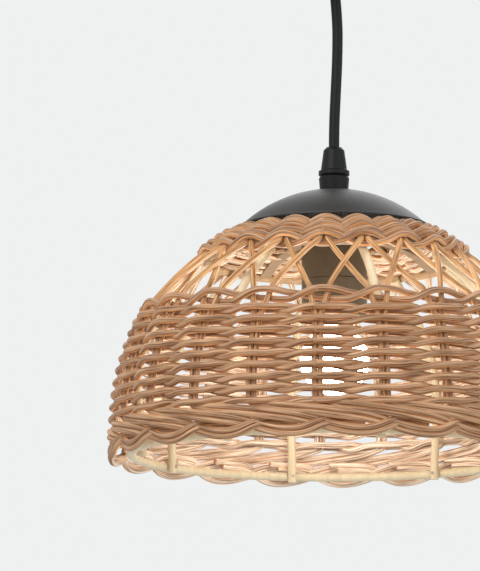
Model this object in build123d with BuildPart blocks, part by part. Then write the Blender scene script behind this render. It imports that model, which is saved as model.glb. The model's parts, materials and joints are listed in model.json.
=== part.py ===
from build123d import *
from math import atan2, cos, pi, radians, sin, sqrt, tan
import os

# Pendant ceiling light: a woven cane dome on a short cord under a ceiling rose.
# Millimetres. The origin is on the ceiling face of the bracket, +Z is up, so
# the whole lamp hangs below z = 0. Heights on the lamp are counted from the
# dome's lower rim and turned into z by up().

RIM_Z = -370.0            # lower rim of the dome

# Ceiling fitting
BRACKET_LENGTH = 95.6
BRACKET_WIDTH = 16.0
BRACKET_LEG = 16.0
PLATE = 1.5               # bracket and carrier sheet
SLOT_SPACING = 60.0
SLOT_LENGTH = 12.0
SLOT_WIDTH = 5.0
ROSE_R = 50.0
ROSE_HEIGHT = 41.0
ROSE_WALL = 1.2
SIDE_SCREW_Z = -9.0
SIDE_SCREW_R = 2.0
BLOCK_SIZE = (34.0, 18.0, 16.0)

# Cord and its two ends
CORD_R = 3.5
PIVOT_Z = -47.0           # centre of the ball seat in the gland
CORD_ROUTE = [
    (0.0, 0.0, -47.0),
    (1.6, 0.0, -80.0),
    (2.1, 0.0, -111.0),
    (0.0, 0.0, -141.0),
    (0.0, 0.0, -176.0),
]
FIT = 0.05                # running fit between the cord's end and the grip
NECK_R = 6.0
NECK_TOP_Z = -32.0
GLAND_R = 12.0
GLAND_MOUTH = 9.0         # from the pivot down to the flared mouth
SEAT_R = 6.7
SEAL_R = 5.3              # centre circle of the seal ring
SEAL_WIRE_R = 1.0

# Cap, grip and threaded tube
CAP_SPHERE_R = 89.4
CAP_R = 62.4
CAP_TOP = 180.5
CAP_SHEET = 1.0
TUBE_R = 5.0
TUBE_BORE_R = 3.7
GRIP_TOP = 208.9
GRIP_SPLIT = 189.4

# Lamp holder and bulb
HOLDER_R = 21.5
HOLDER_WALL = 2.0
HOLDER_TOP = 150.0
HOLDER_SPLIT = 120.0
HOLDER_MOUTH = 95.0
SHELL_R = 13.5            # bore of the brass screw shell
BULB_R = 22.5
BULB_CENTRE = 67.0
GLOBE_END = 40.0          # degrees above the equator where the neck begins
GLASS_WALL = 1.0
BULB_RIM = 99.0           # where the glass meets the screw cap
BASE_R = 13.1
BASE_WALL = 1.1
BASE_TOP = 119.0
TIP_TOP = 124.0
THREAD_PITCH = 3.62

# Woven dome: the wall is one long curve that closes under the cap
GROUPS = 21               # pairs of upright stakes round the dome
WALL_R = 148.5            # widest woven radius, at WALL_FOOT
WALL_FOOT = 24.0
WALL_HEAD = 102.0
WALL_DROP = 20.0          # how far the wall leans in from foot to head
LOWER_THICK = 9.0
LATTICE_TOP = (92.7, 138.3)
STAKE_R = 1.65
STAKE_LAYERS = (2.2, 5.65)  # depths of the two lattice layers' centres
HOOP_ROD_R = 2.75
BOTTOM_HOOP_R = 133.2
BOTTOM_HOOP_H = 5.5        # its centre above the rim
TOP_HOOP = (83.5, 133.0)
RIBS = 8
RIB_START = 12.0          # degrees
RIB_LINE = [
    (127.65, 1.2),
    (127.65, 15.0),
    (132.3, 48.0),
    (126.0, 80.0),
    (103.3, 111.2),
    (76.45, 131.2),
]

PARTS = "parts"
os.makedirs(PARTS, exist_ok=True)


def up(height):
    """z of a height above the dome's lower rim."""
    return RIM_Z + height


def save(piece, name):
    piece.part.label = name
    export_step(piece.part, f"{PARTS}/{name}.step")


def corner_radii(points):
    """One fillet radius for each inner point: the widest gentle bend that fits."""
    radii = []
    for before, here, after in zip(points, points[1:], points[2:]):
        first = Vector(here) - Vector(before)
        second = Vector(after) - Vector(here)
        half_turn = radians(first.get_angle(second)) / 2
        shorter = min(first.length, second.length)
        radii.append(0.45 * shorter / tan(half_turn))
    return radii


def wall_radius(height):
    """Outer radius of the dense wall at a height above the rim."""
    share = (height - WALL_FOOT) / (WALL_HEAD - WALL_FOOT)
    return WALL_R - WALL_DROP * share**2


# ---------------------------------------------------------------- ceiling

with BuildPart() as ceiling_bracket:
    with BuildSketch(Plane.XY.offset(-PLATE)):
        Rectangle(BRACKET_LENGTH, BRACKET_WIDTH)
        with GridLocations(SLOT_SPACING, 0, 2, 1):
            SlotOverall(SLOT_LENGTH, SLOT_WIDTH, mode=Mode.SUBTRACT)
    extrude(amount=PLATE)
    for side in (-1, 1):
        leg_plane = Plane(
            origin=(side * (BRACKET_LENGTH / 2 - PLATE), 0, 0),
            x_dir=(0, side, 0),
            z_dir=(side, 0, 0),
        )
        with BuildSketch(leg_plane):
            with Locations((0, -BRACKET_LEG / 2)):
                Rectangle(BRACKET_WIDTH, BRACKET_LEG)
            with Locations((0, SIDE_SCREW_Z)):
                Circle(SIDE_SCREW_R + FIT, mode=Mode.SUBTRACT)
        extrude(amount=PLATE)
save(ceiling_bracket, "ceiling_bracket")

with BuildPart() as rose_cover:
    Cylinder(ROSE_R, ROSE_HEIGHT, align=(Align.CENTER, Align.CENTER, Align.MAX))
    fillet(rose_cover.edges().group_by(Axis.Z)[0], 6)
    rose_rim = rose_cover.faces().sort_by(Axis.Z)[-1]
    offset(amount=-ROSE_WALL, openings=rose_rim)
    Cylinder(
        NECK_R + 2 * FIT,
        2 * ROSE_HEIGHT,
        align=(Align.CENTER, Align.CENTER, Align.MAX),
        mode=Mode.SUBTRACT,
    )
    with BuildSketch(Plane.YZ):
        with Locations((0, SIDE_SCREW_Z)):
            Circle(SIDE_SCREW_R + 2 * FIT)
    extrude(amount=ROSE_R, both=True, mode=Mode.SUBTRACT)
save(rose_cover, "rose_cover")

with BuildPart() as rose_screws:
    for side in (-1, 1):
        shank = Plane(origin=(side * 44, 0, SIDE_SCREW_Z), z_dir=(side, 0, 0))
        head = Plane(origin=(side * (ROSE_R + FIT), 0, SIDE_SCREW_Z), z_dir=(side, 0, 0))
        with BuildSketch(shank):
            Circle(SIDE_SCREW_R)
        extrude(amount=ROSE_R + FIT - 44)
        with BuildSketch(head):
            Circle(3.8)
        extrude(amount=2.4, taper=12)
        with BuildSketch(head.offset(2.4)):
            Rectangle(0.9, 6)
        extrude(amount=-0.9, mode=Mode.SUBTRACT)
save(rose_screws, "rose_screws")

with BuildPart() as terminal_block:
    with BuildSketch(Plane.XY.offset(-PLATE)):
        RectangleRounded(BLOCK_SIZE[0], BLOCK_SIZE[1], 2)
    extrude(amount=-BLOCK_SIZE[2])
    with BuildSketch(Plane.XZ.offset(BLOCK_SIZE[1] / 2)):
        with Locations((0, -PLATE - BLOCK_SIZE[2] / 2)):
            with GridLocations(11, 0, 3, 1):
                Circle(2.6)
    extrude(amount=-6, mode=Mode.SUBTRACT)
save(terminal_block, "terminal_block")

with BuildPart() as terminal_screws:
    with BuildSketch(Plane.XZ.offset(BLOCK_SIZE[1] / 2 - 6)):
        with Locations((0, -PLATE - BLOCK_SIZE[2] / 2)):
            with GridLocations(11, 0, 3, 1):
                Circle(2.3)
    extrude(amount=4)
    with BuildSketch(Plane.XZ.offset(BLOCK_SIZE[1] / 2 - 2)):
        with Locations((0, -PLATE - BLOCK_SIZE[2] / 2)):
            with GridLocations(11, 0, 3, 1):
                Rectangle(3.6, 0.8)
    extrude(amount=-0.8, mode=Mode.SUBTRACT)
save(terminal_screws, "terminal_screws")

# The gland's ball seat narrows again below the seal, then flares to let the
# cord lean without touching an edge.
seat_neck_rise = sqrt(SEAT_R**2 - (CORD_R + 0.3) ** 2)
seat_lip_drop = 2.8
seat_lip_r = sqrt(SEAT_R**2 - seat_lip_drop**2)
mouth_r = 10.4

with BuildPart() as cord_gland:
    with BuildSketch(Plane.XZ):
        with BuildLine():
            l1 = Polyline(
                (CORD_R + 0.3, PIVOT_Z + seat_neck_rise),
                (CORD_R + 0.3, NECK_TOP_Z),
                (NECK_R, NECK_TOP_Z),
                (NECK_R, -ROSE_HEIGHT),
                (GLAND_R, -ROSE_HEIGHT),
                (GLAND_R, PIVOT_Z - GLAND_MOUTH),
                (mouth_r, PIVOT_Z - GLAND_MOUTH),
                (seat_lip_r, PIVOT_Z - seat_lip_drop),
            )
            ThreePointArc(l1 @ 1, (SEAT_R, PIVOT_Z), l1 @ 0)
        make_face()
    revolve(axis=Axis.Z)
save(cord_gland, "cord_gland")

with BuildPart() as gland_nut:
    with BuildSketch(Plane.XY.offset(ROSE_WALL - ROSE_HEIGHT)):
        RegularPolygon(9.2, 6)
        Circle(NECK_R + FIT, mode=Mode.SUBTRACT)
    extrude(amount=4)
save(gland_nut, "gland_nut")

with BuildPart() as ceiling_lead:
    with BuildSketch(Plane.XY.offset(-PLATE - BLOCK_SIZE[2])):
        Circle(CORD_R)
    extrude(amount=PIVOT_Z + CORD_R + 0.7 + PLATE + BLOCK_SIZE[2])
save(ceiling_lead, "ceiling_lead")

with BuildPart() as lead_clamp:
    with BuildSketch(Plane.XY.offset(NECK_TOP_Z + 2)):
        RectangleRounded(24, 11, 2)
        Circle(CORD_R + FIT, mode=Mode.SUBTRACT)
    extrude(amount=7)
save(lead_clamp, "lead_clamp")

# ---------------------------------------------------------------- cord

with BuildPart() as gland_seal:
    with Locations((0, 0, PIVOT_Z)):
        Torus(SEAL_R, SEAL_WIRE_R)
save(gland_seal, "gland_seal")

cord_radii = corner_radii(CORD_ROUTE)
first_run = Vector(CORD_ROUTE[1]) - Vector(CORD_ROUTE[0])

with BuildPart() as cord:
    with BuildLine():
        cord_line = FilletPolyline(*CORD_ROUTE, radius=cord_radii)
    with BuildSketch(Plane(origin=CORD_ROUTE[0], z_dir=first_run)):
        Circle(CORD_R)
    sweep()
    with Locations(CORD_ROUTE[0]):
        Sphere(CORD_R)
save(cord, "cord")
print("cord radii", [round(r) for r in cord_radii])
print("cord length", round(cord_line.length, 1))
tube_volume = cord_line.length * pi * CORD_R**2 + 2 / 3 * pi * CORD_R**3
print("cord volume", round(cord.part.volume), "expected", round(tube_volume))

# ---------------------------------------------------------------- grip and cap

with BuildPart() as grip_cone:
    with BuildSketch(Plane.XZ):
        with BuildLine():
            Polyline(
                (CORD_R + FIT, up(200.0)),
                (6.0, up(200.0)),
                (6.0, up(GRIP_SPLIT + 0.2)),
                (9.2, up(GRIP_SPLIT + 0.2)),
                (10.2, up(GRIP_SPLIT + 1.2)),
                (10.2, up(193.1)),
                (8.7, up(193.9)),
                (6.9, up(207.0)),
                (5.2, up(GRIP_TOP)),
                (CORD_R + FIT, up(GRIP_TOP)),
                (CORD_R + FIT, up(200.0)),
            )
        make_face()
    revolve(axis=Axis.Z)
save(grip_cone, "grip_cone")

with BuildPart() as grip_clamp:
    with BuildSketch(Plane.XY.offset(up(193.0))):
        Circle(5.8)
        Circle(CORD_R + FIT, mode=Mode.SUBTRACT)
        with Locations((5, 0)):
            Rectangle(4, 1.2, mode=Mode.SUBTRACT)
    extrude(amount=6.5)
save(grip_clamp, "grip_clamp")

with BuildPart() as grip_nut:
    with BuildSketch(Plane.XZ):
        with BuildLine():
            Polyline(
                (TUBE_R + FIT, up(CAP_TOP)),
                (9.4, up(CAP_TOP)),
                (10.0, up(188.2)),
                (9.3, up(GRIP_SPLIT)),
                (TUBE_R + FIT, up(GRIP_SPLIT)),
                (TUBE_R + FIT, up(CAP_TOP)),
            )
        make_face()
    revolve(axis=Axis.Z)
    with BuildSketch(Plane.XY.offset(up(CAP_TOP))):
        with PolarLocations(10.3, 40):
            Circle(0.45)
    extrude(amount=GRIP_SPLIT - CAP_TOP, mode=Mode.SUBTRACT)
save(grip_nut, "grip_nut")

cap_centre = up(CAP_TOP - CAP_SPHERE_R)
cap_edge_z = cap_centre + sqrt(CAP_SPHERE_R**2 - CAP_R**2)
cap_hole = TUBE_R + 0.3
cap_inner = CAP_SPHERE_R - CAP_SHEET


def on_sphere(sphere_r, radius):
    """Point in the XZ plane where a sphere of the cap's centre has that radius."""
    return (radius, cap_centre + sqrt(sphere_r**2 - radius**2))


with BuildPart() as cap:
    with BuildSketch(Plane.XZ):
        with BuildLine():
            outer = ThreePointArc(
                on_sphere(CAP_SPHERE_R, cap_hole),
                on_sphere(CAP_SPHERE_R, CAP_R / 2),
                on_sphere(CAP_SPHERE_R, CAP_R),
            )
            inner = ThreePointArc(
                on_sphere(cap_inner, cap_hole),
                on_sphere(cap_inner, CAP_R / 2),
                on_sphere(cap_inner, CAP_R - 0.8),
            )
            Line(outer @ 0, inner @ 0)
            Line(outer @ 1, inner @ 1)
        make_face()
    revolve(axis=Axis.Z)
    with Locations((0, 0, cap_edge_z)):
        Torus(CAP_R - 0.4, 1.0)
save(cap, "cap")

with BuildPart() as cap_washer:
    with BuildSketch(Plane.XY.offset(up(177.5))):
        Circle(9)
        Circle(TUBE_R + FIT, mode=Mode.SUBTRACT)
    extrude(amount=1.4)
save(cap_washer, "cap_washer")

with BuildPart() as threaded_tube:
    with BuildSketch(Plane.XY.offset(up(143.0))):
        Circle(TUBE_R)
        Circle(TUBE_BORE_R, mode=Mode.SUBTRACT)
    extrude(amount=192.0 - 143.0)
save(threaded_tube, "threaded_tube")

# Three hexagon nuts on the threaded tube: inside the holder, on the carrier
# and under the cap.
NUT_FOOT = {"holder_nut": 144.0, "carrier_nut": 151.55, "cap_nut": 173.5}
for nut_name, foot in NUT_FOOT.items():
    with BuildPart() as nut:
        with BuildSketch(Plane.XY.offset(up(foot))):
            RegularPolygon(8.0, 6)
            Circle(TUBE_R + FIT, mode=Mode.SUBTRACT)
        extrude(amount=3.9)
    save(nut, nut_name)

with BuildPart() as carrier:
    with BuildSketch(Plane.XY.offset(up(HOLDER_TOP))):
        Circle(15)
        Circle(TUBE_R + 2 * FIT, mode=Mode.SUBTRACT)
    extrude(amount=PLATE)
    for arm in range(4):
        arm_angle = RIB_START + 22.5 + 90 * arm
        turned = Plane(
            origin=Vector(0, 4, 0).rotate(Axis.Z, arm_angle),
            x_dir=Vector(1, 0, 0).rotate(Axis.Z, arm_angle),
            z_dir=Vector(0, -1, 0).rotate(Axis.Z, arm_angle),
        )
        with BuildSketch(turned):
            with BuildLine():
                Polyline(
                    (12.0, up(HOLDER_TOP)),
                    (26.0, up(HOLDER_TOP)),
                    (46.0, up(147.2)),
                    (66.0, up(141.6)),
                    (79.6, up(132.8)),
                    (80.6, up(134.0)),
                    (66.6, up(143.0)),
                    (46.3, up(148.7)),
                    (26.3, up(HOLDER_TOP + PLATE)),
                    (12.0, up(HOLDER_TOP + PLATE)),
                    (12.0, up(HOLDER_TOP)),
                )
            make_face()
        extrude(amount=8)
save(carrier, "carrier")

# ---------------------------------------------------------------- lamp holder

with BuildPart() as holder_body:
    with BuildSketch(Plane.XY.offset(up(HOLDER_SPLIT))):
        Circle(HOLDER_R)
    extrude(amount=HOLDER_TOP - HOLDER_SPLIT)
    fillet(holder_body.edges().group_by(Axis.Z)[-1], 4)
    with BuildSketch(Plane.XY.offset(up(HOLDER_SPLIT))):
        Circle(HOLDER_R - HOLDER_WALL)
    extrude(amount=HOLDER_TOP - HOLDER_WALL - HOLDER_SPLIT, mode=Mode.SUBTRACT)
    with BuildSketch(Plane.XY.offset(up(HOLDER_SPLIT))):
        Circle(TUBE_R + FIT)
    extrude(amount=HOLDER_TOP - HOLDER_SPLIT, mode=Mode.SUBTRACT)
save(holder_body, "holder_body")

with BuildPart() as holder_skirt:
    with BuildSketch(Plane.XY.offset(up(HOLDER_MOUTH))):
        Circle(HOLDER_R)
        Circle(SHELL_R + 2.4, mode=Mode.SUBTRACT)
    extrude(amount=HOLDER_SPLIT - 0.4 - HOLDER_MOUTH)
    fillet(holder_skirt.edges().group_by(Axis.Z)[0].sort_by(SortBy.RADIUS)[-1], 2)
save(holder_skirt, "holder_skirt")

with BuildPart() as screw_shell:
    with BuildSketch(Plane.XY.offset(up(98.0))):
        Circle(SHELL_R + 1.0)
        Circle(SHELL_R, mode=Mode.SUBTRACT)
    extrude(amount=26.0)
save(screw_shell, "screw_shell")

with BuildPart() as holder_insulator:
    with BuildSketch(Plane.XY.offset(up(128.0))):
        Circle(HOLDER_R - HOLDER_WALL - 0.3)
        with Locations((-8, 0), (8, 0)):
            Circle(2.3, mode=Mode.SUBTRACT)
    extrude(amount=6)
    with BuildSketch(Plane.XY.offset(up(128.0))):
        Circle(SHELL_R + 3)
        Circle(SHELL_R + 1.2, mode=Mode.SUBTRACT)
    extrude(amount=-6)
save(holder_insulator, "holder_insulator")

with BuildPart() as centre_contact:
    with BuildSketch(Plane.XZ.offset(-2.5)):
        with BuildLine():
            Polyline(
                (-9.0, up(127.9)),
                (9.0, up(127.9)),
                (9.0, up(127.3)),
                (3.0, up(125.2)),
                (-3.0, up(124.5)),
                (-3.0, up(125.1)),
                (2.6, up(125.8)),
                (7.0, up(127.3)),
                (-9.0, up(127.3)),
                (-9.0, up(127.9)),
            )
        make_face()
    extrude(amount=5)
save(centre_contact, "centre_contact")

with BuildPart() as holder_screws:
    with BuildSketch(Plane.XY.offset(up(128.5))):
        with Locations((-8, 0), (8, 0)):
            Circle(2.2)
    extrude(amount=7.5)
    with BuildSketch(Plane.XY.offset(up(136.0))):
        with Locations((-8, 0), (8, 0)):
            Rectangle(4.0, 0.8)
    extrude(amount=-0.8, mode=Mode.SUBTRACT)
save(holder_screws, "holder_screws")

with BuildPart() as lamp_lead:
    with BuildSketch(Plane.XY.offset(up(141.0))):
        Circle(CORD_R)
    extrude(amount=193.4 - 141.0)
save(lamp_lead, "lamp_lead")

# Two bare wires run from the lead's end to the terminal screws.
with BuildPart() as conductors:
    for side in (-1, 1):
        wire_line = [
            (side * 1.7, 0, up(141.0)),
            (side * 1.9, 0, up(139.4)),
            (side * 7.6, 0, up(137.4)),
            (side * 8.0, 0, up(136.1)),
        ]
        with BuildLine() as wire:
            Polyline(*wire_line)
        with BuildSketch(Plane(origin=wire_line[0], z_dir=(0, 0, -1))):
            Circle(0.8)
        sweep(path=wire.wires()[0], transition=Transition.ROUND)
save(conductors, "conductors")

# ---------------------------------------------------------------- bulb

with BuildPart() as bulb_glass:
    with BuildSketch(Plane.XZ):
        with BuildLine():
            globe = CenterArc((0, up(BULB_CENTRE)), BULB_R, -90, 90 + GLOBE_END)
            neck = JernArc(globe @ 1, globe % 1, radius=18.8, arc_size=-GLOBE_END)
            Polyline(
                neck @ 1,
                ((neck @ 1).X, up(BULB_RIM)),
                (0, up(BULB_RIM)),
                globe @ 0,
            )
        make_face()
    revolve(axis=Axis.Z)
    with Locations((0, 0, up(BULB_CENTRE))):
        Sphere(BULB_R - GLASS_WALL, mode=Mode.SUBTRACT)
    with BuildSketch(Plane.XY.offset(up(BULB_CENTRE))):
        Circle(BASE_R - 2 * BASE_WALL)
    extrude(amount=BULB_RIM - BULB_CENTRE, mode=Mode.SUBTRACT)
save(bulb_glass, "bulb_glass")

with BuildPart() as bulb_base:
    with BuildSketch(Plane.XZ):
        with BuildLine():
            Polyline(
                (BASE_R - BASE_WALL, up(BULB_RIM + FIT)),
                (BASE_R, up(BULB_RIM + FIT)),
                (BASE_R, up(BASE_TOP)),
                (9.5, up(BASE_TOP + 2.0)),
                (0, up(BASE_TOP + 2.0)),
                (0, up(BASE_TOP + 1.0)),
                (9.0, up(BASE_TOP + 1.0)),
                (BASE_R - BASE_WALL, up(BASE_TOP - 0.4)),
                (BASE_R - BASE_WALL, up(BULB_RIM + FIT)),
            )
        make_face()
    revolve(axis=Axis.Z)
    for turn in range(5):
        with Locations((0, 0, up(102.0 + turn * THREAD_PITCH))):
            Torus(BASE_R + 0.35, 0.9, mode=Mode.SUBTRACT)
save(bulb_base, "bulb_base")

with BuildPart() as bulb_insulator:
    with BuildSketch(Plane.XZ):
        with BuildLine():
            Polyline(
                (0, up(BASE_TOP + 2.1)),
                (9.3, up(BASE_TOP + 2.1)),
                (5.2, up(TIP_TOP - 1.0)),
                (0, up(TIP_TOP - 1.0)),
                (0, up(BASE_TOP + 2.1)),
            )
        make_face()
    revolve(axis=Axis.Z)
save(bulb_insulator, "bulb_insulator")

with BuildPart() as bulb_contact:
    with BuildSketch(Plane.XY.offset(up(TIP_TOP - 1.0))):
        Circle(4.6)
    extrude(amount=1.0, taper=30)
save(bulb_contact, "bulb_contact")

# ---------------------------------------------------------------- cane frame

rib_radii = corner_radii([(r, 0, h) for r, h in RIB_LINE])
for index in range(RIBS):
    angle = RIB_START + index * 360 / RIBS
    rib_points = []
    for radius, height in RIB_LINE:
        rib_points.append(Vector(radius, 0, up(height)).rotate(Axis.Z, angle))
    with BuildPart() as rib:
        with BuildLine():
            FilletPolyline(*rib_points, radius=rib_radii)
        with BuildSketch(Plane(origin=rib_points[0], z_dir=(0, 0, 1))):
            Circle(HOOP_ROD_R)
        sweep()
    save(rib, f"shade_rib_{index + 1}")

with BuildPart() as bottom_hoop:
    with Locations((0, 0, up(BOTTOM_HOOP_H))):
        Torus(BOTTOM_HOOP_R, HOOP_ROD_R)
save(bottom_hoop, "bottom_hoop")

with BuildPart() as top_hoop:
    with Locations((0, 0, up(TOP_HOOP[1]))):
        Torus(TOP_HOOP[0], HOOP_ROD_R)
save(top_hoop, "top_hoop")

# One nail a rib, driven outwards through the rib into the bottom hoop; only
# the head is drawn, seated on the rib.
nail_head_r = RIB_LINE[0][0] - HOOP_ROD_R
with BuildPart() as hoop_nails:
    for index in range(RIBS):
        angle = RIB_START + index * 360 / RIBS
        head = Plane(
            origin=Vector(nail_head_r - 0.05, 0, up(BOTTOM_HOOP_H)).rotate(Axis.Z, angle),
            z_dir=Vector(-1, 0, 0).rotate(Axis.Z, angle),
        )
        with BuildSketch(head):
            Circle(1.0)
        extrude(amount=0.7)
save(hoop_nails, "hoop_nails")

# ---------------------------------------------------------------- woven wall

wall_middle = (WALL_FOOT + WALL_HEAD) / 2
lean = atan2(2 * WALL_DROP, WALL_HEAD - WALL_FOOT)
middle_lean = lean / 2


def inside(radius, height, angle, depth):
    """Point a depth behind the outer curve, along its normal."""
    return (radius - depth * cos(angle), up(height) - depth * sin(angle))


with BuildPart() as lower_weave:
    with BuildSketch(Plane.XZ):
        with BuildLine():
            outer = ThreePointArc(
                (WALL_R, up(WALL_FOOT)),
                (wall_radius(wall_middle), up(wall_middle)),
                (wall_radius(WALL_HEAD), up(WALL_HEAD)),
            )
            inner = ThreePointArc(
                (WALL_R - LOWER_THICK, up(WALL_FOOT)),
                inside(wall_radius(wall_middle), wall_middle, middle_lean, LOWER_THICK),
                inside(wall_radius(WALL_HEAD), WALL_HEAD, lean, LOWER_THICK),
            )
            Line(outer @ 0, inner @ 0)
            Line(outer @ 1, inner @ 1)
        make_face()
    revolve(axis=Axis.Z)
save(lower_weave, "lower_weave")

with BuildPart() as bottom_border:
    with BuildSketch(Plane.XZ):
        with BuildLine():
            face = ThreePointArc((147.0, up(0)), (150.2, up(11)), (WALL_R, up(WALL_FOOT)))
            Polyline(face @ 1, (136.0, up(WALL_FOOT)), (136.0, up(0)), face @ 0)
        make_face()
    revolve(axis=Axis.Z)
save(bottom_border, "bottom_border")

with BuildPart() as upper_weave:
    with BuildSketch(Plane.XZ):
        with BuildLine():
            outer = ThreePointArc(
                (LATTICE_TOP[0], up(LATTICE_TOP[1])),
                (73.5, up(149.0)),
                (50.0, up(156.0)),
            )
            inner = ThreePointArc(
                (89.2, up(133.8)),
                (70.7, up(143.9)),
                (49.0, up(150.2)),
            )
            Line(outer @ 0, inner @ 0)
            Line(outer @ 1, inner @ 1)
        make_face()
    revolve(axis=Axis.Z)
save(upper_weave, "upper_weave")

# Two layers of crossing stakes bridge the open lattice. Each stake leans by
# nearly one group on its way down, and runs a little into both weaves.
lattice_foot = (wall_radius(WALL_HEAD), WALL_HEAD)
slope_run = lattice_foot[0] - LATTICE_TOP[0]
slope_rise = LATTICE_TOP[1] - lattice_foot[1]
slope_length = sqrt(slope_run**2 + slope_rise**2)
slope_angle = atan2(slope_run, slope_rise)
EMBED = 3.0                # how far a stake runs into each weave
GROUP_ANGLE = 360 / GROUPS
LEAN_ANGLE = GROUP_ANGLE - 3.5
PAIR_ANGLE = 1.0           # half the angle between a pair's stakes at the top


def lattice_point(along, depth, angle):
    """Point on the lattice slope: along from its foot, depth behind its face."""
    radius = lattice_foot[0] - along * sin(slope_angle) - depth * cos(slope_angle)
    height = lattice_foot[1] + along * cos(slope_angle) - depth * sin(slope_angle)
    return Vector(radius, 0, up(height)).rotate(Axis.Z, angle)


for stake_name, turn_way, depth in (
    ("lattice_left", -1, STAKE_LAYERS[0]),
    ("lattice_right", 1, STAKE_LAYERS[1]),
):
    with BuildPart() as stakes:
        for group in range(GROUPS):
            top_angle = group * GROUP_ANGLE + turn_way * PAIR_ANGLE
            top = lattice_point(slope_length + EMBED, depth, top_angle)
            foot = lattice_point(-EMBED, depth, top_angle + turn_way * LEAN_ANGLE)
            stake_line = top - foot
            with BuildSketch(Plane(origin=foot, z_dir=stake_line)):
                Circle(STAKE_R)
            extrude(amount=stake_line.length)
    save(stakes, stake_name)
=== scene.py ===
import json
import math

import bpy
import numpy as np
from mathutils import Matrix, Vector


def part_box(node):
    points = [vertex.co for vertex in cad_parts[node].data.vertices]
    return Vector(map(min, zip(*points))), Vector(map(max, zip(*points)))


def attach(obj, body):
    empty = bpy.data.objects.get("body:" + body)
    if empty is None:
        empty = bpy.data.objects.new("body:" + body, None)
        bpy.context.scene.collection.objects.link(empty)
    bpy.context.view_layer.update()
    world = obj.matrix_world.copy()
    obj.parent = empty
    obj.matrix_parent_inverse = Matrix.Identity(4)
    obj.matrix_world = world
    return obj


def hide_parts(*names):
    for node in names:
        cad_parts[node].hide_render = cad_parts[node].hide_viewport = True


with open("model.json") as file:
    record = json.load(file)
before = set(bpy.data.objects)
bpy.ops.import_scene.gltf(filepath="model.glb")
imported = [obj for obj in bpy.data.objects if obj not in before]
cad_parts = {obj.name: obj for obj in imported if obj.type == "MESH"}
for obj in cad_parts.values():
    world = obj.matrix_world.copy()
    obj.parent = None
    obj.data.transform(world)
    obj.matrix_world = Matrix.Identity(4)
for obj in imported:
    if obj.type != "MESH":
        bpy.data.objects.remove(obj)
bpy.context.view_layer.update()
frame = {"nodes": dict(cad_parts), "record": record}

# All weaving is worked out in millimetres from the dome's lower rim and axis,
# and turned into metres of the row frame when a mesh is made. Azimuth 0 faces
# the front (-Y), and grows to the right (+X).

MM = 0.001
TURN = 2 * math.pi
random = np.random.default_rng(735)


def half_width(node):
    """Half the width of a CAD node, in millimetres."""
    low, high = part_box(node)
    return (high[0] - low[0]) / 2 / MM


RIM_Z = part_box("bottom_border")[0][2]

# The dome's outer outline. Pairs are radius and height.
BORDER_BULGE = 0.6        # how far the border's middle stands out from the wall
BORDER_MIDDLE = 14.0      # its height
BORDER_CURVE = 0.004
WALL_R = half_width("lower_weave")
WALL_FOOT = (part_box("lower_weave")[0][2] - RIM_Z) / MM
WALL_HEAD = (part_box("lower_weave")[1][2] - RIM_Z) / MM
WALL_DROP = 20.0          # how far the wall leans in from foot to head
LATTICE_TOP = (92.7, 138.3)
SHOULDER = [
    (87.0, 142.9),
    (80.5, 147.8),
    (75.0, 151.2),
    (70.0, 153.4),
    (65.0, 154.2),
    (58.0, 153.4),
    (50.0, 153.4),
]

# Cane radii
STAKE_R = 1.85
BORDER_R = 1.9
STRAND_R = 2.12
ARCH_STRAND_R = 2.15
TOP_STRAND_R = 2.05
STAKE_DEPTH = STAKE_R + 2 * STRAND_R   # stakes' centres behind the outline

# Pairs of stakes
GROUPS = 21
FIRST_GROUP = -5.6        # azimuth of the first pair, degrees
STEP = math.radians(360 / GROUPS)
START = math.radians(FIRST_GROUP)

# Woven rows. A swap is how far a strand moves along the outline, up or down,
# where it changes places with its partner.
ROWS = 9
ROW_FOOT = 27.9           # height of the lowest row
ROW_PITCH = 8.25
FRONT_FOOT = 22.6         # the same at the front, where the rows sag a little
FRONT_PITCH = 7.65
ROW_SWAP = 1.92
ARCH_ROW = 101.0          # height of the arched row
ARCH_DROP = 2.0           # how far below that its arches spring
ARCH_RISE = 3.4
ARCH_SWAP = 2.3
FRONT_SAG = 6.0           # how far the front of the arched row hangs
TOP_ROWS = 6
TOP_START = 2.0           # how far above the lattice the top rows begin
TOP_PITCH = 6.5
TOP_SWAP = 1.75
TOP_SAG = 3.0             # how far the front of the lowest top row hangs
INNER_LIFT = 1.1          # how much higher a cane lies inside the stakes than outside
ROW_TURNS = 2             # turns of the dome before a row's cane meets its start
NOISE_WAVES = 5


# ---------------------------------------------------------------- outline

def evened(values, rounds):
    """Smooths a run of values but keeps its ends."""
    values = np.array(values)
    for _ in range(rounds):
        values[1:-1] = (values[:-2] + 2 * values[1:-1] + values[2:]) / 4
    return values


def between(here, after, share):
    """The point at a share of the way from one point to another."""
    return tuple(np.array(here) * (1 - share) + np.array(after) * share)


def outline():
    """Radius and height of the outer surface at closely spaced points, from the
    rim up: a bulge at the border, a leaning wall, the straight lattice slope and
    the shoulder that runs in under the cap."""
    points = []
    for height in np.arange(-6.0, WALL_FOOT, 1.0):
        inward = BORDER_CURVE * (height - BORDER_MIDDLE) ** 2
        points.append((WALL_R + BORDER_BULGE - inward, height))
    for height in np.arange(WALL_FOOT, WALL_HEAD, 1.0):
        share = (height - WALL_FOOT) / (WALL_HEAD - WALL_FOOT)
        points.append((WALL_R - WALL_DROP * share**2, height))
    wall_end = (WALL_R - WALL_DROP, WALL_HEAD)
    for share in np.linspace(0, 1, 40):
        points.append(between(wall_end, LATTICE_TOP, share))
    for here, after in zip([LATTICE_TOP] + SHOULDER, SHOULDER):
        for share in np.linspace(0.1, 1, 10):
            points.append(between(here, after, share))
    return evened(points, 12)


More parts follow.
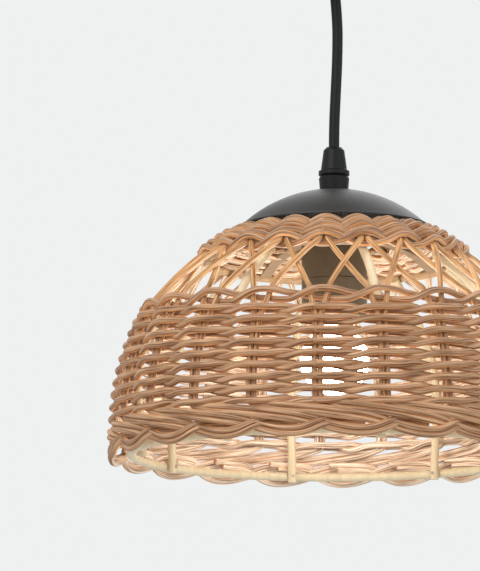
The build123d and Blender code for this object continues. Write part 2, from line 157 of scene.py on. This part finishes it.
OUTLINE = outline()
ALONG = np.concatenate([[0], np.cumsum(np.linalg.norm(np.diff(OUTLINE, axis=0), axis=1))])
NORMAL = np.gradient(OUTLINE, axis=0)[:, ::-1] * (1, -1)
NORMAL /= np.linalg.norm(NORMAL, axis=1)[:, None]


def along_at(height):
    """Distance along the outline at a height."""
    return np.interp(height, OUTLINE[:, 1], ALONG)


def radius_at(along):
    """Radius of the outline at a distance along it."""
    return np.interp(along, ALONG, OUTLINE[:, 0])


def on_wall(azimuth, along, depth):
    """Points in the row frame at a depth behind the outline, and the outward
    directions there."""
    out_r = np.interp(along, ALONG, NORMAL[:, 0])
    out_h = np.interp(along, ALONG, NORMAL[:, 1])
    radius = radius_at(along) - depth * out_r
    height = np.interp(along, ALONG, OUTLINE[:, 1]) - depth * out_h
    side, front = np.sin(azimuth), -np.cos(azimuth)
    points = np.stack([radius * side, radius * front, height], axis=1) * MM
    points[:, 2] += RIM_Z
    outward = np.stack([out_r * side, out_r * front, out_h], axis=1)
    return points, outward


# ---------------------------------------------------------------- cane tubes

class Canes:
    """Round canes collected into one mesh, with what the cane material reads:
    cane_fibre, the place on the cane with its length as Z; cane_face, which is 1
    on the side that faces out of the dome and 0 on the side that faces in, and
    places painted lamp light inside and a painted warm glow at the edges; and
    cane_brown_and_shade, which is 0 for golden cane and 1 for brown, and also brings painted
    shade to the stakes down among the woven rows."""

    def __init__(self, name):
        self.name = name
        self.points, self.faces, self.fibre, self.face, self.brown = [], [], [], [], []
        self.count = 0

    def add(self, line, outward, radius, closed=False, sides=10, brown=1.0):
        """A cane along a line of points in metres, with its radius in millimetres."""
        count = len(line)
        if closed:
            tangent = np.roll(line, -1, axis=0) - np.roll(line, 1, axis=0)
        else:
            tangent = np.gradient(line, axis=0)
        tangent /= np.linalg.norm(tangent, axis=1)[:, None]
        out = outward - tangent * np.sum(outward * tangent, axis=1)[:, None]
        out /= np.linalg.norm(out, axis=1)[:, None]
        side = np.cross(tangent, out)
        steps = np.linalg.norm(np.diff(line, axis=0, append=line[:1]), axis=1)
        length = np.concatenate([[0], np.cumsum(steps)])[:count]
        length = length + random.uniform(0, 10)
        wobble = self.wobble(length)
        angles = np.arange(sides) * TURN / sides
        ring = np.cos(angles)[None, :, None] * out[:, None, :]
        ring = ring + np.sin(angles)[None, :, None] * side[:, None, :]
        thick = (np.broadcast_to(radius, count) * MM * (1 + wobble))[:, None]
        fibre = np.empty((count, sides, 3))
        fibre[:, :, 0] = np.cos(angles) * thick
        fibre[:, :, 1] = np.sin(angles) * thick
        fibre[:, :, 2] = length[:, None]
        face = np.repeat((np.cos(angles)[None, :] + 1) / 2, count, axis=0)
        self.points.append((line[:, None, :] + ring * thick[:, :, None]).reshape(-1, 3))
        self.fibre.append(fibre.reshape(-1, 3))
        self.face.append(face.reshape(-1))
        self.brown.append(np.repeat(np.broadcast_to(brown, count), sides))
        self.join(count, sides, closed)

    def join(self, count, sides, closed):
        """Faces between a new cane's rings, and over its ends if it has any."""
        index = self.count + np.arange(count * sides).reshape(count, sides)
        for row in range(count if closed else count - 1):
            here, after = index[row], index[(row + 1) % count]
            for turn in range(sides):
                following = (turn + 1) % sides
                self.faces.append((here[turn], here[following], after[following], after[turn]))
        if not closed:
            self.faces.append(tuple(index[0][::-1]))
            self.faces.append(tuple(index[-1]))
        self.count += count * sides

    @staticmethod
    def wobble(length):
        """A few percent of uneven thickness along a cane."""
        total = np.zeros(len(length))
        for wave in (0.021, 0.037, 0.073):
            total += 0.012 * np.sin(length / wave * TURN + random.uniform(0, TURN))
        return total

    def build(self, material, replaces=()):
        """Makes the mesh object, which rides on the lamp."""
        mesh = bpy.data.meshes.new(self.name)
        points = np.concatenate(self.points)
        mesh.from_pydata(points.tolist(), [], [[int(i) for i in f] for f in self.faces])
        mesh.polygons.foreach_set("use_smooth", [len(f) == 4 for f in self.faces])
        fibre = mesh.attributes.new("cane_fibre", "FLOAT_VECTOR", "POINT")
        fibre.data.foreach_set("vector", np.concatenate(self.fibre).ravel())
        face = mesh.attributes.new("cane_face", "FLOAT", "POINT")
        face.data.foreach_set("value", np.concatenate(self.face))
        brown = mesh.attributes.new("cane_brown_and_shade", "FLOAT", "POINT")
        brown.data.foreach_set("value", np.concatenate(self.brown))
        mesh.materials.append(material)
        piece = bpy.data.objects.new(self.name, mesh)
        bpy.context.scene.collection.objects.link(piece)
        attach(piece, "lamp")
        if replaces:
            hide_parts(*replaces)


# ---------------------------------------------------------------- materials

def new_material(name):
    """A material with its node tree, its shader and a small helper to add nodes."""
    material = bpy.data.materials.new(name)
    material.use_nodes = True
    tree = material.node_tree
    shader = tree.nodes["Principled BSDF"]

    def add(kind, **inputs):
        node = tree.nodes.new(kind)
        for key, value in inputs.items():
            if hasattr(node, key) and not key[0].isupper():
                setattr(node, key, value)
            else:
                socket = node.inputs[key.replace("_", " ")]
                if isinstance(value, bpy.types.NodeSocket):
                    tree.links.new(value, socket)
                else:
                    socket.default_value = value
        return node

    return material, tree, shader, add


def ramp(add, factor, stops):
    """A colour ramp with (place, colour) stops."""
    node = add("ShaderNodeValToRGB", Fac=factor)
    elements = node.color_ramp.elements
    while len(elements) < len(stops):
        elements.new(0.5)
    for element, (place, colour) in zip(elements, stops):
        element.position = place
        element.color = (*colour, 1)
    return node.outputs["Color"]


def mixed(add, kind, factor, one, two):
    """A colour mix of the given kind. The node's colour sockets go by number,
    because its sockets for other kinds of data have the same names."""
    node = add("ShaderNodeMix", data_type="RGBA", blend_type=kind)
    for place, value in ((0, factor), (6, one), (7, two)):
        socket = node.inputs[place]
        if isinstance(value, bpy.types.NodeSocket):
            node.id_data.links.new(value, socket)
        else:
            socket.default_value = value
    return node.outputs[2]


FIBRE_SCALE = (1300, 1300, 34)
TONE_SCALE = (60, 60, 22)
# The outside colours are the canes' own; the edge colours are a painted warm glow and the inside colour
# is painted lamp light.
BROWN_OUTSIDE = (0.375, 0.208, 0.108)
BROWN_PAINTED_EDGE_GLOW = (0.86, 0.40, 0.12)
GOLD_OUTSIDE = (0.50, 0.26, 0.10)
GOLD_PAINTED_EDGE_GLOW = (0.88, 0.50, 0.22)
PAINTED_LAMPLIGHT_INSIDE = (0.86, 0.68, 0.52)
FIBRE_DARK = (0.36, 0.27, 0.21)
FIBRE_LIGHT = (1.5, 1.62, 1.80)
TONE_DARK = (0.78, 0.76, 0.74)
TONE_LIGHT = (1.15, 1.15, 1.16)
WHITE = (1, 1, 1)
BULB_GLOW = 18.0
BULB_WHITE = (1.0, 0.93, 0.82)
BULB_NECK = (0.9, 0.68, 0.45)


def cane_material(name):
    """Split cane, brown or golden outside, with painted light: a painted warm glow
    at its edges and painted lamp light on its sides that face into the dome. It has
    long fibres, slow changes of tone and a dull waxed surface."""
    material, tree, shader, add = new_material(name)
    fibre = add("ShaderNodeAttribute", attribute_name="cane_fibre").outputs["Vector"]
    face = add("ShaderNodeAttribute", attribute_name="cane_face").outputs["Fac"]
    brown = add("ShaderNodeAttribute", attribute_name="cane_brown_and_shade").outputs["Fac"]
    streak_place = add("ShaderNodeMapping", Vector=fibre, Scale=FIBRE_SCALE).outputs["Vector"]
    streak_noise = add("ShaderNodeTexNoise", Vector=streak_place, Scale=1.0, Detail=4.0, Roughness=0.6)
    streak = streak_noise.outputs["Fac"]
    tone_place = add("ShaderNodeMapping", Vector=fibre, Scale=TONE_SCALE).outputs["Vector"]
    tone_noise = add("ShaderNodeTexNoise", Vector=tone_place, Scale=1.0, Detail=2.0)
    # Across each cane, by cane_face: painted lamp light on the side that faces into the dome, a painted
    # warm glow at the edges, and the cane's own colour outside.
    golden = ramp(add, face, [(0.28, PAINTED_LAMPLIGHT_INSIDE), (0.50, GOLD_PAINTED_EDGE_GLOW), (0.78, GOLD_OUTSIDE)])
    browned = ramp(add, face, [(0.28, PAINTED_LAMPLIGHT_INSIDE), (0.48, BROWN_PAINTED_EDGE_GLOW), (0.76, BROWN_OUTSIDE)])
    # brown mixes golden and brown cane; on the stakes down in the wall it is painted shade.
    sides = mixed(add, "MIX", brown, golden, browned)
    grain = ramp(add, streak, [(0.36, FIBRE_DARK), (0.50, WHITE), (0.66, FIBRE_LIGHT)])
    grained = mixed(add, "MULTIPLY", 1.0, sides, grain)
    tone = ramp(add, tone_noise.outputs["Fac"], [(0.3, TONE_DARK), (0.7, TONE_LIGHT)])
    colour = mixed(add, "MULTIPLY", 1.0, grained, tone)
    tree.links.new(colour, shader.inputs["Base Color"])
    rough = add("ShaderNodeMapRange", Value=streak, To_Min=0.42, To_Max=0.66)
    tree.links.new(rough.outputs["Result"], shader.inputs["Roughness"])
    bump = add("ShaderNodeBump", Height=streak, Strength=0.35, Distance=0.0005)
    tree.links.new(bump.outputs["Normal"], shader.inputs["Normal"])
    shader.inputs["Specular IOR Level"].default_value = 0.35
    return material


def speckled_material(name, colour, variation, roughness, scale, stretch=(1, 1, 1),
                      metallic=0.0, specular=0.5):
    """A finish with a slight drift of tone, roughness and surface over the part."""
    material, tree, shader, add = new_material(name)
    place = add("ShaderNodeTexCoord").outputs["Object"]
    scaled = add("ShaderNodeMapping", Vector=place, Scale=stretch).outputs["Vector"]
    noise = add("ShaderNodeTexNoise", Vector=scaled, Scale=scale, Detail=5.0, Roughness=0.6)
    drift = noise.outputs["Fac"]
    low = tuple(c * (1 - variation) for c in colour)
    high = tuple(c * (1 + variation) for c in colour)
    tinted = ramp(add, drift, [(0.3, low), (0.7, high)])
    tree.links.new(tinted, shader.inputs["Base Color"])
    rough = add("ShaderNodeMapRange", Value=drift, To_Min=roughness - 0.06, To_Max=roughness + 0.08)
    tree.links.new(rough.outputs["Result"], shader.inputs["Roughness"])
    bump = add("ShaderNodeBump", Height=drift, Strength=0.4, Distance=0.0002)
    tree.links.new(bump.outputs["Normal"], shader.inputs["Normal"])
    shader.inputs["Metallic"].default_value = metallic
    shader.inputs["Specular IOR Level"].default_value = specular
    return material


def glow_material(name):
    """Lit opal glass, a little darker towards the neck."""
    material, tree, shader, add = new_material(name)
    place = add("ShaderNodeTexCoord").outputs["Object"]
    height = add("ShaderNodeSeparateXYZ", Vector=place).outputs["Z"]
    low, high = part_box("bulb_glass")
    share = add("ShaderNodeMapRange", Value=height, From_Min=low[2], From_Max=high[2])
    colour = ramp(add, share.outputs["Result"], [(0.6, BULB_WHITE), (1.0, BULB_NECK)])
    tree.links.new(colour, shader.inputs["Base Color"])
    tree.links.new(colour, shader.inputs["Emission Color"])
    shader.inputs["Emission Strength"].default_value = BULB_GLOW
    shader.inputs["Roughness"].default_value = 0.35
    return material


WOVEN = cane_material("woven_cane")
LATTICE = cane_material("lattice_cane")

# Colour, variation, roughness and scale of each speckled finish, then what is
# special to it. Each has the name of its slot in the record, apart from
# shaded_cane and painted_steel, which are for top_hoop and carrier.
FINISHES = {
    "peeled_cane": ((0.68, 0.57, 0.38), 0.10, 0.5, 220.0, {"stretch": (1, 1, 0.12)}),
    "shaded_cane": ((0.50, 0.34, 0.20), 0.2, 0.55, 160.0, {}),
    "painted_steel": ((0.36, 0.26, 0.17), 0.06, 0.5, 500.0, {}),
    "black_metal": ((0.021, 0.019, 0.018), 0.12, 0.50, 900.0, {"specular": 0.4}),
    "black_plastic": ((0.0045, 0.0045, 0.0045), 0.2, 0.5, 500.0, {"specular": 0.2}),
    "cord_black": ((0.0045, 0.0045, 0.005), 0.2, 0.5, 700.0, {"specular": 0.2}),
    "white_plastic": ((0.78, 0.78, 0.75), 0.04, 0.45, 300.0, {}),
    "seal_rubber": ((0.03, 0.03, 0.03), 0.2, 0.7, 600.0, {}),
    "holder_brown": ((0.135, 0.108, 0.066), 0.10, 0.48, 260.0, {}),
    "holder_ceramic": ((0.80, 0.78, 0.72), 0.04, 0.6, 300.0, {}),
    "brass": ((0.70, 0.50, 0.22), 0.08, 0.3, 400.0, {"metallic": 1.0}),
    "zinc_steel": ((0.60, 0.60, 0.58), 0.08, 0.38, 200.0, {"metallic": 1.0}),
    "bulb_metal": ((0.66, 0.64, 0.60), 0.06, 0.28, 300.0, {"metallic": 1.0}),
    "nail_steel": ((0.42, 0.36, 0.29), 0.2, 0.5, 800.0, {"metallic": 0.6}),
    "bulb_black_glass": ((0.02, 0.02, 0.02), 0.2, 0.25, 300.0, {}),
}
materials = {}
for name, (*basics, special) in FINISHES.items():
    materials[name] = speckled_material(name, *basics, **special)
materials["opal_glass"] = glow_material("opal_glass")

for part in frame["record"]["subparts"]:
    if part["material_slot"] in materials:
        for material_slot in frame["nodes"][part["node"]].material_slots:
            material_slot.material = materials[part["material_slot"]]
frame["nodes"]["top_hoop"].material_slots[0].material = materials["shaded_cane"]
frame["nodes"]["carrier"].material_slots[0].material = materials["painted_steel"]


# ---------------------------------------------------------------- camera and lights

def look_at(thing, target):
    """Turns a camera or light to face a point."""
    direction = Vector(target) - thing.location
    thing.rotation_euler = direction.to_track_quat("-Z", "Y").to_euler()


FRAME_HEIGHT = 0.375      # metres of the lamp's plane that the picture shows
VIEW_DISTANCE = 3.0
VIEW_RISE = math.radians(9.0)
LOOK_AT = (-0.062, 0.0, RIM_Z + 0.117)

camera_data = bpy.data.cameras.new("camera")
camera_data.lens = camera_data.sensor_width * VIEW_DISTANCE / FRAME_HEIGHT
camera = bpy.data.objects.new("camera", camera_data)
bpy.context.scene.collection.objects.link(camera)
camera.location = (
    LOOK_AT[0],
    -VIEW_DISTANCE * math.cos(VIEW_RISE),
    LOOK_AT[2] - VIEW_DISTANCE * math.sin(VIEW_RISE),
)
look_at(camera, LOOK_AT)
bpy.context.scene.camera = camera


def area_light(name, place, size, power):
    """A square light that faces the dome, with its size in metres and its power
    in watts."""
    data = bpy.data.lights.new(name, "AREA")
    data.size = size
    data.energy = power
    light = bpy.data.objects.new(name, data)
    bpy.context.scene.collection.objects.link(light)
    light.location = place
    look_at(light, (0, 0, RIM_Z + 0.08))


area_light("key", (-1.2, -1.8, 1.1), 1.4, 38)
area_light("fill", (1.7, -1.4, 0.2), 1.6, 14)
area_light("back", (0.4, 1.9, 0.9), 1.6, 16)

world = bpy.data.worlds.new("studio")
world.use_nodes = True
backdrop = world.node_tree.nodes["Background"]
backdrop.inputs["Color"].default_value = (0.863, 0.879, 0.879, 1)
backdrop.inputs["Strength"].default_value = 1.0
bpy.context.scene.world = world
bpy.context.scene.view_settings.view_transform = "Standard"

# The floor lies far below, so that it doesn't hide the lamp from a low view.
FLOOR_DROP = 5.0
FLOOR_REACH = 12.0
floor_corners = []
for x, y in ((-1, -1), (1, -1), (1, 1), (-1, 1)):
    floor_corners.append((x * FLOOR_REACH, y * FLOOR_REACH, RIM_Z - FLOOR_DROP))
floor_mesh = bpy.data.meshes.new("floor")
floor_mesh.from_pydata(floor_corners, [], [(0, 1, 2, 3)])
floor = bpy.data.objects.new("floor", floor_mesh)
bpy.context.scene.collection.objects.link(floor)
floor_mesh.materials.append(speckled_material("floor_paint", (0.80, 0.81, 0.81), 0.02, 0.7, 3.0))


# ---------------------------------------------------------------- cord

# From inside the ceiling gland, in a slight bow, into the cord grip
CORD_ROUTE = [
    (0.0, 0.0, -0.047),
    (0.0026, 0.0, -0.072),
    (0.0026, 0.0, -0.098),
    (0.0012, 0.0, -0.126),
    (0.0, 0.0, -0.150),
    (0.0, 0.0, -0.176),
]
CORD_DIAMETER = 0.007

cord_curve = bpy.data.curves.new("pendant_cord", "CURVE")
cord_curve.dimensions = "3D"
cord_line = cord_curve.splines.new("NURBS")
cord_line.points.add(len(CORD_ROUTE) - 1)
for point, place in zip(cord_line.points, CORD_ROUTE):
    point.co = (*place, 1)
cord_line.order_u = 3
cord_line.use_endpoint_u = True
cord_line.resolution_u = 16
cord_curve.bevel_depth = CORD_DIAMETER / 2
cord_curve.bevel_resolution = 6
cord_curve.use_fill_caps = True
cord_curve.materials.append(materials["cord_black"])
pendant_cord = bpy.data.objects.new("pendant_cord", cord_curve)
bpy.context.scene.collection.objects.link(pendant_cord)
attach(pendant_cord, "hanging_cord")
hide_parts("cord")


# ---------------------------------------------------------------- woven rows

def loop_noise(azimuth, size):
    """Slow unevenness that closes on itself where a row's cane meets its start."""
    total = np.zeros(len(azimuth))
    for _ in range(NOISE_WAVES):
        cycles = random.integers(3, 40)
        total += np.sin(azimuth * cycles / ROW_TURNS + random.uniform(0, TURN))
    return total * size / math.sqrt(NOISE_WAVES)


def front_share(azimuth):
    """1 at the front of the dome, falling to 0 at its sides and back."""
    return np.clip(np.cos(azimuth), 0, 1) ** 2


def twined_row(canes, along, radius, swap, arch=0.0, sharpness=5.0, samples=20, unevenness=0.4):
    """One cane that goes round twice and is twisted with itself round each pair
    of stakes: one turn passes in front while the other passes behind, and they
    change places between pairs. It meets its start because the number of pairs
    is odd. along gives the row's place on the outline for an azimuth, and arch
    is how far the cane rises over each pair that it passes in front of."""
    phase = np.arange(GROUPS * ROW_TURNS * samples) / samples
    azimuth = START + phase * STEP
    uneven = loop_noise(azimuth, unevenness)
    front = np.cos(math.pi * phase)
    lift = np.sin(math.pi * phase)
    rise = np.sign(lift) * np.abs(lift) ** sharpness * swap
    rise += arch * np.clip(front, 0, 1) ** 1.5 + INNER_LIFT * np.clip(-front, 0, 1)
    depth = STAKE_DEPTH - (STAKE_R + radius) * front
    points, outward = on_wall(azimuth, along(azimuth) + rise + uneven, depth)
    canes.add(points, outward, radius, closed=True)


def wall_row(row):
    """Where a row of the wall lies: a little lower and closer at the front."""
    def along(azimuth):
        side = ROW_FOOT + row * ROW_PITCH
        front = FRONT_FOOT + row * FRONT_PITCH
        return along_at(side + (front - side) * front_share(azimuth))
    return along


def arch_along(azimuth):
    """Where the arched row lies."""
    return along_at(ARCH_ROW - FRONT_SAG * front_share(azimuth)) - ARCH_DROP


def top_row(row):
    """Where a row of the top band lies: each sags less at the front than the one
    below it."""
    def along(azimuth):
        place = along_at(LATTICE_TOP[1]) + TOP_START + row * TOP_PITCH
        sag = TOP_SAG * (1 - row / (TOP_ROWS - 1))
        return place - sag * front_share(azimuth)
    return along


rows = Canes("woven_wall")
for row in range(ROWS):
    twined_row(rows, wall_row(row), STRAND_R, swap=ROW_SWAP)
rows.build(WOVEN, replaces=["lower_weave"])

arch_row = Canes("arch_row")
twined_row(arch_row, arch_along, ARCH_STRAND_R, swap=ARCH_SWAP, arch=ARCH_RISE, sharpness=1.5)
arch_row.build(WOVEN)

top_rows = Canes("woven_shoulder")
for row in range(TOP_ROWS):
    twined_row(
        top_rows,
        top_row(row),
        TOP_STRAND_R,
        swap=TOP_SWAP,
        arch=2.4 if row == 0 else 1.0,
        sharpness=1.3,
        samples=14,
        unevenness=0.9,
    )
top_rows.build(WOVEN, replaces=["upper_weave"])


# ---------------------------------------------------------------- stakes

PAIR_GAP = STAKE_R * 1.04     # half the distance between a pair's centre lines
LATTICE_LOW = along_at(WALL_HEAD)
LATTICE_HIGH = along_at(LATTICE_TOP[1])
LATTICE_BOW = 0.048           # how far the middle of a lattice cane bows, in steps
LATTICE_CURVE = 0.92
LAYER_GAP = STAKE_R * 1.05    # half the depth between crossing lattice canes
SPREAD = math.radians(2.9)    # half the gap between a pair's stakes at the wall's head
SPREAD_REACH = 28.0           # how far below the head the stakes come together
WALL_EXIT = 26.0              # height where the stakes leave the wall for the border

# The border: each stake bends right under the lowest row, sweeps down across
# two more pairs, dips, then rises over the next pair and passes inside. The
# columns are the share of the way to the next pair, the height and the depth.
SWEEP = [
    (0.00, 26.5, 5.65),
    (0.15, 24.8, 5.4),
    (0.35, 23.0, 4.4),
    (0.60, 21.4, 2.9),
    (0.90, 19.7, 2.0),
    (1.30, 17.0, 1.8),
    (1.70, 13.9, 2.0),
    (1.95, 11.2, 3.6),
    (2.10, 8.8, 5.0),
    (2.25, 6.2, 4.6),
    (2.45, 3.9, 3.0),
    (2.65, 3.1, 2.0),
    (2.82, 4.0, 1.6),
    (2.96, 6.8, 1.8),
    (3.08, 10.2, 3.0),
    (3.20, 12.2, 6.0),
    (3.35, 12.6, 9.5),
    (3.85, 12.4, 11.0),
]
BORDER_GAP = BORDER_R * 0.98  # half the distance between a pair in the border
BORDER_SAG = 0.17             # how much flatter the border is at the front
STACK_REACH = 0.45            # steps in which a pair goes from side by side to stacked
CUT_STAGGER = 0.14            # steps by which the lower stake of a pair is cut shorter


def smooth_step(share):
    """Goes from 0 to 1 with a level start and end."""
    share = np.clip(share, 0, 1)
    return share * share * (3 - 2 * share)


def smooth_curve(places, values, at):
    """A smooth curve through listed values."""
    fine = np.linspace(places[0], places[-1], 200)
    return np.interp(at, fine, evened(np.interp(fine, places, values), 25))


def stretch(azimuth, along, depth, brown, radius):
    """A stretch of a stake, as five rows with a column for each point."""
    return np.stack(np.broadcast_arrays(azimuth, along, depth, brown, radius))


# The stretches of a stake, from the top. way is -1 for a stake that leans left
# on its way down, and 1 for right. top and low are the azimuths of the pairs
# that it belongs to above and below the lattice.

def under_cap(top, way):
    """From its upper end down to the lattice."""
    along = np.linspace(ALONG[-1] - 1.0, LATTICE_HIGH, 18, endpoint=False)
    azimuth = top + way * PAIR_GAP / radius_at(along)
    return stretch(azimuth, along, STAKE_DEPTH, 0.5, STAKE_R)


def across_lattice(top, low, way):
    """Down the lattice, where left-leaning stakes pass in front of the others."""
    along = np.linspace(LATTICE_HIGH, LATTICE_LOW, 26, endpoint=False)
    share = (LATTICE_HIGH - along) / (LATTICE_HIGH - LATTICE_LOW)
    start = top + way * PAIR_GAP / LATTICE_TOP[0]
    end = low - way * SPREAD
    bow = LATTICE_BOW * np.sin(share * math.pi) * way * STEP
    azimuth = start + (end - start) * share**LATTICE_CURVE + bow
    depth = STAKE_DEPTH + way * LAYER_GAP * np.sin(share * math.pi) ** 0.5
    return stretch(azimuth, along, depth, 0.15, STAKE_R)


def down_wall(low, way):
    """Down through the woven rows, where the pair closes up."""
    along = np.linspace(LATTICE_LOW, along_at(WALL_EXIT), 40, endpoint=False)
    close = smooth_step((LATTICE_LOW - along) / SPREAD_REACH)
    offset = SPREAD * (1 - close) + PAIR_GAP / radius_at(along) * close
    # The stake turns from golden to brown as it goes down among the rows: painted shade between them.
    brown = np.linspace(0.6, 1.0, len(along))
    return stretch(low - way * offset, along, STAKE_DEPTH, brown, STAKE_R)


def round_border(low, way):
    """Along the border to its cut end inside. Of a pair, the stake on the right
    lies above its partner."""
    places, heights, depths = (np.array(column) for column in zip(*SWEEP))
    sweep = np.linspace(0, places[-1] - (0 if way < 0 else CUT_STAGGER), 120)
    sag = 1 - BORDER_SAG * front_share(low + sweep * STEP)
    height = smooth_curve(places, heights, sweep) * sag
    across = sweep * STEP * WALL_R
    slope = np.gradient(height, across)
    stacked = smooth_step(sweep / STACK_REACH)
    beside = -way * PAIR_GAP * (1 - stacked)
    above = -way * BORDER_GAP * stacked
    azimuth = low + (across + beside - above * slope / np.hypot(1, slope)) / WALL_R
    along = along_at(height) + above / np.hypot(1, slope)
    return stretch(azimuth, along, smooth_curve(places, depths, sweep), 1.0, BORDER_R)


def stake(group, way):
    """A whole stake, from under the cap to its cut end inside the border."""
    top = START + group * STEP
    low = top + way * STEP
    return np.concatenate(
        [under_cap(top, way), across_lattice(top, low, way), down_wall(low, way), round_border(low, way)],
        axis=1,
    )


left_stakes = Canes("stakes_left")
right_stakes = Canes("stakes_right")
for way, canes in ((-1, left_stakes), (1, right_stakes)):
    for group in range(GROUPS):
        azimuth, along, depth, brown, radius = stake(group, way)
        points, outward = on_wall(evened(azimuth, 3), evened(along, 3), evened(depth, 3))
        canes.add(points, outward, evened(radius, 3), sides=8, brown=brown)
left_stakes.build(LATTICE, replaces=["lattice_left", "bottom_border"])
right_stakes.build(LATTICE, replaces=["lattice_right"])
